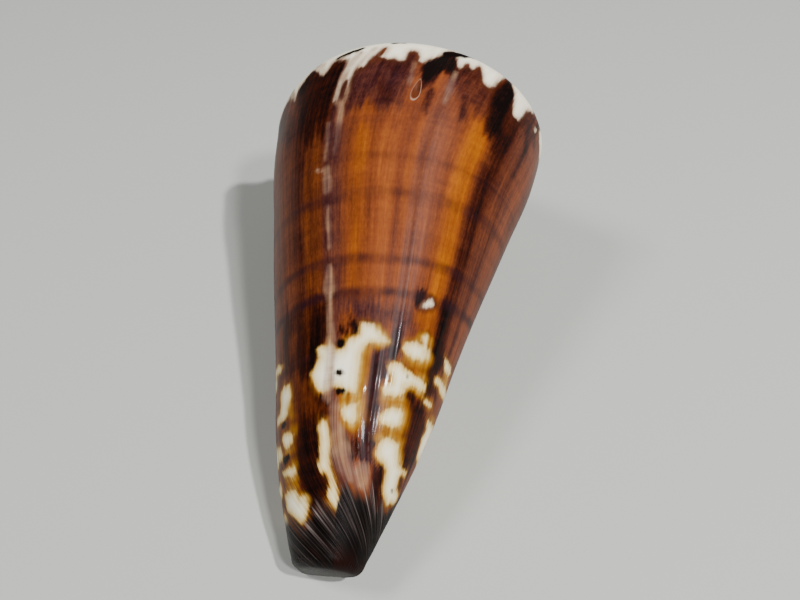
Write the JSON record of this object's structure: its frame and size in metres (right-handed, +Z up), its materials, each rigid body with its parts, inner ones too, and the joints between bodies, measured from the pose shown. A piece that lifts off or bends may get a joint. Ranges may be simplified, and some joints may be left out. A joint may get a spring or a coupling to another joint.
{
  "type": "cone shell",
  "caption": "Cone-shaped sea shell with a low stepped spire, rounded shoulder and long narrow aperture, lying aperture down.",
  "frame": {"origin": "centre of the bounding box, at its bottom, on the surface that the shell lies on", "axes": "+Z up; the spire end points along +Y and the narrow front end along -Y; the aperture faces down"},
  "size_m": [0.0446, 0.0804, 0.0411],
  "materials": {
    "shell": "glossy"
  },
  "bodies": {
    "root": {"shell": "shell"}
  },
  "joints": []
}
